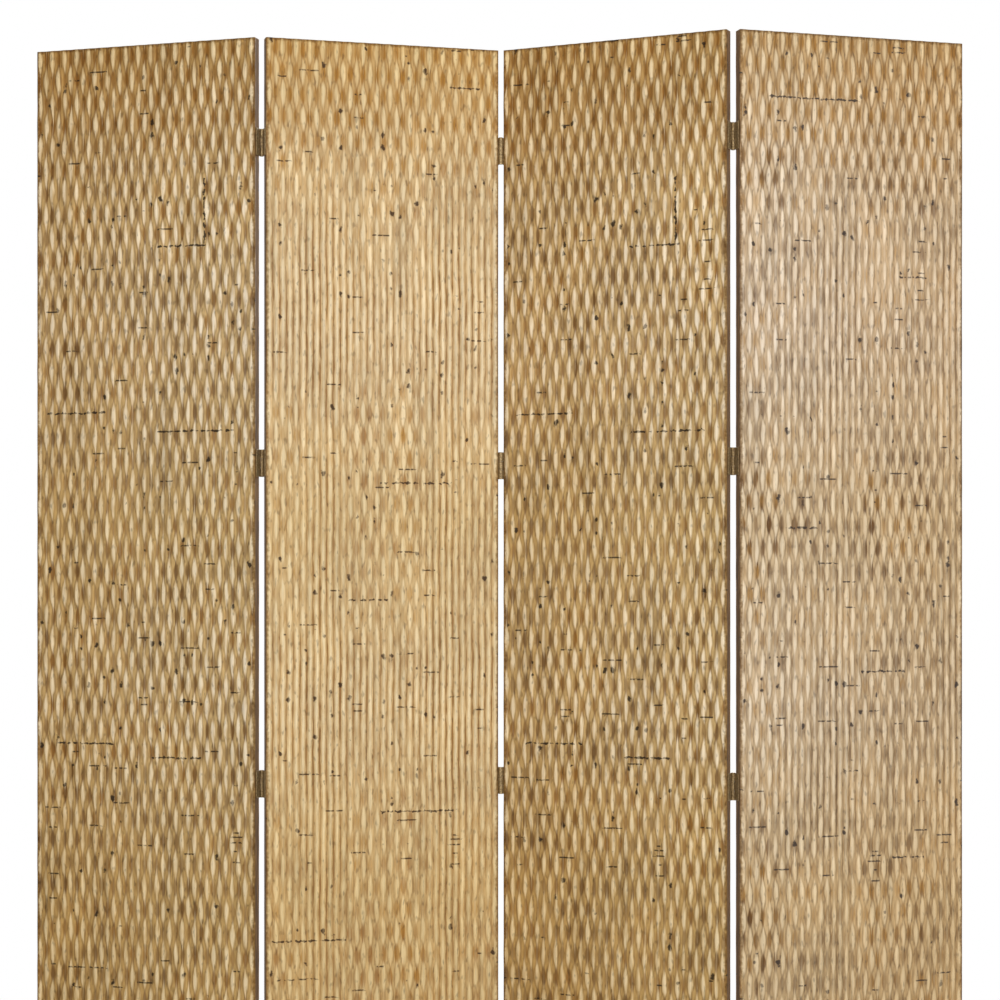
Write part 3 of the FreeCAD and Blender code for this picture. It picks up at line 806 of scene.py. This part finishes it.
def add_blade(shape):
    """The flat of a leaf, with a countersunk hole for each of its two screws."""
    half = LEAF_LENGTH / 2
    places = ((BLADE_START, -half), (BLADE_END, -half), (BLADE_END, half), (BLADE_START, half))
    corners = [shape.verts.new((-BARREL_RADIUS, across, up)) for across, up in places]
    for step in range(4):
        shape.edges.new((corners[step - 1], corners[step]))
    hole = SHANK_RADIUS + SCREW_CLEARANCE
    countersink = (HEAD_RADIUS + SCREW_CLEARANCE) / hole
    heights = (-SCREW_SPACING / 2, SCREW_SPACING / 2)
    for height in heights:
        middle_of_hole = Matrix.Translation((-BARREL_RADIUS, PIN_TO_SCREWS, height))
        place = middle_of_hole @ Matrix.Rotation(HALF_TURN / 2, 4, "Y")
        bmesh.ops.create_circle(shape, segments=ROUND_SIDES, radius=hole, matrix=place)
    sheet = bmesh.ops.triangle_fill(shape, use_beauty=True, edges=shape.edges[:])["geom"]
    faces = [item for item in sheet if isinstance(item, bmesh.types.BMFace)]
    raised = bmesh.ops.extrude_face_region(shape, geom=faces)["geom"]
    outer = [item for item in raised if isinstance(item, bmesh.types.BMVert)]
    bmesh.ops.translate(shape, vec=(LEAF_THICKNESS, 0, 0), verts=outer)
    for height in heights:
        centre = Vector((LEAF_THICKNESS - BARREL_RADIUS, PIN_TO_SCREWS, height))
        for vert in outer:
            if (vert.co - centre).length < 2 * hole:
                vert.co = centre + (vert.co - centre) * countersink


def add_knuckle(shape, low, high):
    """A knuckle between two heights: a rectangle spun round the pin, with its neck."""
    bore_radius = PIN_RADIUS + PIN_CLEARANCE
    corner_low = Vector((-BARREL_RADIUS, 0, low))
    corner_high = Vector((-bore_radius, 0, high))
    centre = (corner_low + corner_high) / 2
    width, _, height = corner_high - corner_low
    section = bmesh.ops.create_grid(shape, x_segments=1, y_segments=1, size=0.5)["verts"]
    upright = Matrix.Rotation(math.radians(90), 4, "X")
    place = Matrix.Translation(centre) @ upright @ Matrix.Diagonal((width, height, 1, 1))
    bmesh.ops.transform(shape, matrix=place, verts=section)
    face = section[0].link_faces[0]
    turned = {"cent": (0, 0, 0), "axis": (0, 0, 1), "angle": ROLL_ANGLE, "steps": ROLL_STEPS}
    bmesh.ops.spin(shape, geom=[face, *face.edges, *face.verts], **turned)
    neck = bmesh.ops.extrude_face_region(shape, geom=[face])["geom"]
    ends = [item for item in neck if isinstance(item, bmesh.types.BMVert)]
    bmesh.ops.translate(shape, vec=(0, BLADE_START + LEAF_THICKNESS / 2, 0), verts=ends)
    inner = [vert for vert in ends if vert.co.x > centre.x]
    thinner = bore_radius - BARREL_RADIUS + LEAF_THICKNESS
    bmesh.ops.translate(shape, vec=(thinner, 0, 0), verts=inner)
    bmesh.ops.delete(shape, geom=[face], context="FACES_ONLY")


SHARP_ANGLE = math.radians(40)


def soften(piece, width, segments=2):
    """Round a piece's sharp edges, and shade its curved faces smooth."""
    bevel = piece.modifiers.new("soft_edges", "BEVEL")
    bevel.width = width
    bevel.segments = segments
    bevel.limit_method = "ANGLE"
    bevel.angle_limit = SHARP_ANGLE
    for face in piece.data.polygons:
        face.use_smooth = True
    piece.data.set_sharp_from_angle(angle=SHARP_ANGLE)


def finished(shape, name, body, cad_node, material, place):
    """An object from a bmesh, moved to its place, where it replaces a CAD node."""
    bmesh.ops.transform(shape, matrix=place, verts=shape.verts)
    bmesh.ops.recalc_face_normals(shape, faces=shape.faces)
    mesh = bpy.data.meshes.new(name)
    shape.to_mesh(mesh)
    shape.free()
    piece = bpy.data.objects.new(name, mesh)
    piece.data.materials.append(material)
    bpy.context.scene.collection.objects.link(piece)
    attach(piece, body)
    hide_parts(cad_node)
    return piece


LEAF_BEVEL = 0.25 * MM
WORN_SPOT = 3 * MM
WORN_EDGE = (0.35, 0.7)
WORN_POLISH = 0.12  # how much smoother a worn spot is
METALNESS = 0.5


def metal_paint(name, dark, light, roughness):
    """Old bronze: dark in general, with lighter worn spots."""
    material, tree, shader = new_material(name)
    place = node(tree, "ShaderNodeTexCoord", {}).outputs["Object"]
    inputs = {"Vector": place, "Scale": 1 / WORN_SPOT, "Detail": 3.0}
    worn = node(tree, "ShaderNodeTexNoise", inputs).outputs["Fac"]
    colour = blend(tree, fade(tree, worn, *WORN_EDGE), dark, light)
    tree.links.new(colour, shader.inputs["Base Color"])
    polished = fade(tree, worn, *MOST_NOISE, roughness, roughness - WORN_POLISH)
    tree.links.new(polished, shader.inputs["Roughness"])
    shader.inputs["Metallic"].default_value = METALNESS
    return material


leaf_bronze = metal_paint("leaf_bronze", paint(122, 100, 66), paint(168, 144, 102), 0.55)
pin_steel = metal_paint("pin_steel", paint(120, 108, 86), paint(170, 158, 134), 0.4)
screw_bronze = metal_paint("screw_bronze", paint(100, 82, 54), paint(164, 140, 98), 0.45)


def pin_place(seam, edge):
    """A seam's axis in the frame of the panel that has it on its right (1) or left (-1)."""
    across = edge * (PANEL_WIDTH / 2 + BARREL_RADIUS)
    return Matrix.Translation((across, PIN_SIDES[seam - 1] * PIN_TO_SCREWS, 0))


def leaf_turn(seam, edge):
    """Turn a leaf from its own frame to a panel's right (1) or left (-1) edge."""
    if PIN_SIDES[seam - 1] < 0:
        return Matrix() if edge > 0 else Matrix.Rotation(HALF_TURN, 4, "Y")
    return Matrix.Rotation(HALF_TURN, 4, "X" if edge > 0 else "Z")


def hinge_height(hinge):
    """The height of a hinge's middle, counted from one at the foot."""
    return HINGE_INSET + (hinge - 1) * (PANEL_HEIGHT - 2 * HINGE_INSET) / (HINGES_PER_SEAM - 1)


def make_leaf(seam, hinge, side, edge):
    """One leaf, with two outer knuckles on the left leaf and one on the right."""
    panel = seam if edge > 0 else seam + 1
    half = LEAF_LENGTH / 2
    shape = bmesh.new()
    add_blade(shape)
    if edge > 0:
        add_knuckle(shape, half - KNUCKLE_LENGTH, half)
        add_knuckle(shape, -half, KNUCKLE_LENGTH - half)
    else:
        add_knuckle(shape, -KNUCKLE_LENGTH / 2, KNUCKLE_LENGTH / 2)
    raised = Matrix.Translation((0, 0, hinge_height(hinge)))
    place = panel_place(panel) @ raised @ pin_place(seam, edge) @ leaf_turn(seam, edge)
    cad_node = f"seam_{seam}_hinge_{hinge}_{side}_leaf"
    leaf = finished(shape, f"rolled_{side}_leaf_{seam}_{hinge}", f"panel_{panel}", cad_node,
                    leaf_bronze, place)
    soften(leaf, LEAF_BEVEL)


for seam in range(1, PANEL_COUNT):
    for hinge in range(1, HINGES_PER_SEAM + 1):
        make_leaf(seam, hinge, "left", 1)
        make_leaf(seam, hinge, "right", -1)
print(f"{2 * HINGES_PER_SEAM * (PANEL_COUNT - 1)} leaves rolled")

# %% [markdown]
# ## Pins and screws
#
# A pin is a rod whose ends a bevel rounds. A screw is a cone for its countersunk head and a
# tapered shank. Its cross recess starts as a smaller circle inset in the head's round face;
# the circle is drawn in between the four arms, and the face inside it is pushed down.

# %% Pins and screws
SCREW_LENGTH = 20 * MM
POINT_RADIUS = 0.3 * MM
RECESS_REACH = 1.9 * MM  # from the head's middle to the end of an arm
RECESS_WAIST = 0.6 * MM
RECESS_DEPTH = 0.9 * MM
ARM_SHARPNESS = 4  # a higher power makes the cross's arms thinner
PIN_BEVEL = 0.4 * MM
SCREW_BEVEL = 0.12 * MM


def make_pins(seam):
    """The four pins of a seam."""
    shape = bmesh.new()
    rod = {"radius1": PIN_RADIUS, "radius2": PIN_RADIUS, "depth": LEAF_LENGTH}
    for hinge in range(1, HINGES_PER_SEAM + 1):
        raised = Matrix.Translation((0, 0, hinge_height(hinge)))
        bmesh.ops.create_cone(shape, cap_ends=True, matrix=raised, segments=ROUND_SIDES, **rod)
    place = panel_place(seam) @ pin_place(seam, 1)
    pins = finished(shape, f"hinge_pins_{seam}", f"panel_{seam}", f"seam_{seam}_pins",
                    pin_steel, place)
    soften(pins, PIN_BEVEL)


def cut_recess(shape, face):
    """Sink a cross into a screw's round head, whose middle is on the Z axis."""
    bmesh.ops.inset_individual(shape, faces=[face], thickness=HEAD_RADIUS - RECESS_REACH)
    for vert in face.verts:
        arm = abs(math.cos(2 * math.atan2(vert.co.y, vert.co.x))) ** ARM_SHARPNESS
        reach = RECESS_WAIST + (RECESS_REACH - RECESS_WAIST) * arm
        vert.co.xy = vert.co.xy.normalized() * reach
    floor = bmesh.ops.extrude_discrete_faces(shape, faces=[face])["faces"][0]
    bmesh.ops.translate(shape, vec=(0, 0, -RECESS_DEPTH), verts=floor.verts)
    bmesh.ops.scale(shape, vec=(0.5, 0.5, 1), verts=floor.verts)


def make_screw():
    """A screw pointing down, with its head's face at Z zero."""
    shape = bmesh.new()
    head = {"radius1": SHANK_RADIUS, "radius2": HEAD_RADIUS, "depth": LEAF_THICKNESS}
    sunk = Matrix.Translation((0, 0, -LEAF_THICKNESS / 2))
    bmesh.ops.create_cone(shape, cap_ends=True, matrix=sunk, segments=ROUND_SIDES, **head)
    shape.faces.ensure_lookup_table()
    cut_recess(shape, max(shape.faces, key=lambda face: face.calc_center_median().z))
    length = SCREW_LENGTH - LEAF_THICKNESS
    shank = {"radius1": POINT_RADIUS, "radius2": SHANK_RADIUS, "depth": length}
    below = Matrix.Translation((0, 0, -LEAF_THICKNESS - length / 2))
    bmesh.ops.create_cone(shape, cap_ends=True, matrix=below, segments=ROUND_SIDES // 2, **shank)
    mesh = bpy.data.meshes.new("screw")
    shape.to_mesh(mesh)
    shape.free()
    return mesh


screw = make_screw()


def make_screws(number):
    """A panel's screws, on each of its edges that has hinges."""
    edges = [edge for edge in (-1, 1) if 1 <= number + (edge - 1) // 2 < PANEL_COUNT]
    shape = bmesh.new()
    for edge in edges:
        for hinge in range(1, HINGES_PER_SEAM + 1):
            for step in (-SCREW_SPACING / 2, SCREW_SPACING / 2):
                outwards = edge * (PANEL_WIDTH / 2 + LEAF_THICKNESS)
                face = Vector((outwards, 0, hinge_height(hinge) + step))
                twist = Matrix.Rotation(step / MM, 4, "Z")  # so that the crosses don't line up
                turn = Matrix.Rotation(edge * HALF_TURN / 2, 4, "Y") @ twist
                old = len(shape.verts)
                shape.from_mesh(screw)
                shape.verts.ensure_lookup_table()
                place = Matrix.Translation(face) @ turn
                bmesh.ops.transform(shape, matrix=place, verts=shape.verts[old:])
    name = f"panel_{number}"
    screws = finished(shape, f"hinge_screws_{number}", name, f"{name}_screws",
                      screw_bronze, panel_place(number))
    soften(screws, SCREW_BEVEL, 1)


for seam in range(1, PANEL_COUNT):
    make_pins(seam)
for number in range(1, PANEL_COUNT + 1):
    make_screws(number)
print("pins and screws made")

# %% [markdown]
# ## Stage
#
# The screen stands on a plain pale floor. What the camera sees behind it is white, but that
# white must not shine on the screen, so the world is white to the camera and to reflections
# only, and a plain grey to everything else. The floor keeps the screen's soft shadow near
# its feet and fades to the same white further out, so that no horizon shows.

# %% Floor and world
FLOOR_HALF = 12.0
SHADOW_REACH = (1.3, 2.4)  # where the floor begins to fade to white, and where it is white
FLOOR_GLOW = 0.25  # lifts the lit floor towards the white further out
WHITE = (1, 1, 1, 1)
PLAIN_GREY = (0.7, 0.7, 0.7, 1)
AMBIENT = 0.42  # the world's strength, for all but the eye


def white_to_the_eye(tree):
    """One for what the camera, a mirror or a clear piece sees, and zero for the rest."""
    path = node(tree, "ShaderNodeLightPath", {})
    seen = sums(tree, "MAXIMUM", path.outputs["Is Camera Ray"], path.outputs["Is Glossy Ray"])
    return sums(tree, "MAXIMUM", seen, path.outputs["Is Transmission Ray"])


def floor_material():
    """A pale floor that takes a soft shadow near the screen and fades to white."""
    material, tree, shader = new_material("pale_floor")
    tree.nodes.remove(shader)
    plain = node(tree, "ShaderNodeBsdfDiffuse", {"Color": PLAIN_GREY}).outputs[0]
    bright = node(tree, "ShaderNodeBsdfDiffuse", {"Color": WHITE}).outputs[0]
    glow = node(tree, "ShaderNodeEmission", {"Color": WHITE, "Strength": FLOOR_GLOW}).outputs[0]
    lit = node(tree, "ShaderNodeAddShader", {0: bright, 1: glow}).outputs[0]
    white = node(tree, "ShaderNodeEmission", {"Color": WHITE, "Strength": 1.0}).outputs[0]
    place = node(tree, "ShaderNodeTexCoord", {}).outputs["Object"]
    distance = node(tree, "ShaderNodeVectorMath", {0: place}, operation="LENGTH").outputs["Value"]
    far = fade(tree, distance, *SHADOW_REACH)
    shown = node(tree, "ShaderNodeMixShader", {0: far, 1: lit, 2: white}).outputs[0]
    inputs = {0: white_to_the_eye(tree), 1: plain, 2: shown}
    mixed = node(tree, "ShaderNodeMixShader", inputs).outputs[0]
    tree.links.new(mixed, tree.nodes["Material Output"].inputs["Surface"])
    return material


floor_mesh = bmesh.new()
bmesh.ops.create_grid(floor_mesh, x_segments=1, y_segments=1, size=FLOOR_HALF)
floor_data = bpy.data.meshes.new("floor")
floor_mesh.to_mesh(floor_data)
floor_mesh.free()
floor = bpy.data.objects.new("floor", floor_data)
floor.data.materials.append(floor_material())
bpy.context.scene.collection.objects.link(floor)

world = bpy.data.worlds.new("world")
bpy.context.scene.world = world
world.use_nodes = True
background = world.node_tree.nodes["Background"]
seen = white_to_the_eye(world.node_tree)
ambient = fade(world.node_tree, seen, 0, 1, AMBIENT, 1.0)
world.node_tree.links.new(ambient, background.inputs["Strength"])
background.inputs["Color"].default_value = WHITE
print("floor and world made")

# %% [markdown]
# ## Light
#
# A large soft lamp in front shows the colours about as they are written, and a smaller one
# from high on the right models the carving's flanks and makes the panels that face it the
# brighter ones. A third lights the back. Big lamps make soft shadows, as a studio's light
# tents do.

# %% Lamps
def soft_lamp(name, place, aim, size, power):
    """A square lamp aimed at a point."""
    data = bpy.data.lights.new(name, "AREA")
    data.size = size
    data.energy = power
    lamp = bpy.data.objects.new(name, data)
    lamp.visible_camera = False
    lamp.location = place
    lamp.rotation_euler = (Vector(aim) - Vector(place)).to_track_quat("-Z", "Y").to_euler()
    bpy.context.scene.collection.objects.link(lamp)


SCREEN_MIDDLE = (0, 0, PANEL_HEIGHT / 2)
soft_lamp("front_lamp", (0.6, -5.0, 2.6), SCREEN_MIDDLE, 2.5, 125)
soft_lamp("side_lamp", (3.4, -3.0, 2.8), SCREEN_MIDDLE, 1.2, 38)
soft_lamp("back_lamp", (1.0, 5.0, 3.0), SCREEN_MIDDLE, 2.5, 130)
bpy.context.scene.view_settings.view_transform = "Standard"
print("lamps lit")
